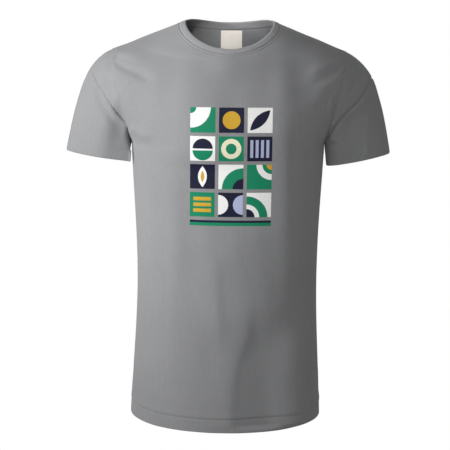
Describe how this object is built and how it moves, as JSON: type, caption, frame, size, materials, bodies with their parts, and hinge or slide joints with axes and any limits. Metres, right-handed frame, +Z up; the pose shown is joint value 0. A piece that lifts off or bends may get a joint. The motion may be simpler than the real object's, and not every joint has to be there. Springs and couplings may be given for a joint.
{
  "type": "crew-neck t-shirt",
  "caption": "Short-sleeved crew-neck T-shirt in jersey, with a rib collar, set-in sleeves and turned hems, in the shape it takes when worn.",
  "frame": {"origin": "midway between the two high shoulder points, where the neck opening crosses the shoulder line", "axes": "+Z up, the front faces -Y, +X towards the wearer's left arm"},
  "size_m": [0.572, 0.2481, 0.7146],
  "materials": {
    "jersey": "grey heather single jersey, matt",
    "rib": "grey 1x1 rib knit, matt",
    "tape": "grey jersey tape, matt",
    "label": "cream woven tape, satin",
    "thread": "grey overlock thread, matt"
  },
  "bodies": {
    "root": {"front_panel": "jersey", "back_panel": "jersey", "neck_rib": "rib", "body_hem": "jersey", "neck_tape": "tape", "neck_label": "label", "sleeve_left": "jersey", "sleeve_hem_left": "jersey", "armhole_seam_left": "thread", "side_seam_left": "thread", "shoulder_seam_left": "thread", "sleeve_right": "jersey", "sleeve_hem_right": "jersey", "armhole_seam_right": "thread", "side_seam_right": "thread", "shoulder_seam_right": "thread"}
  },
  "joints": []
}
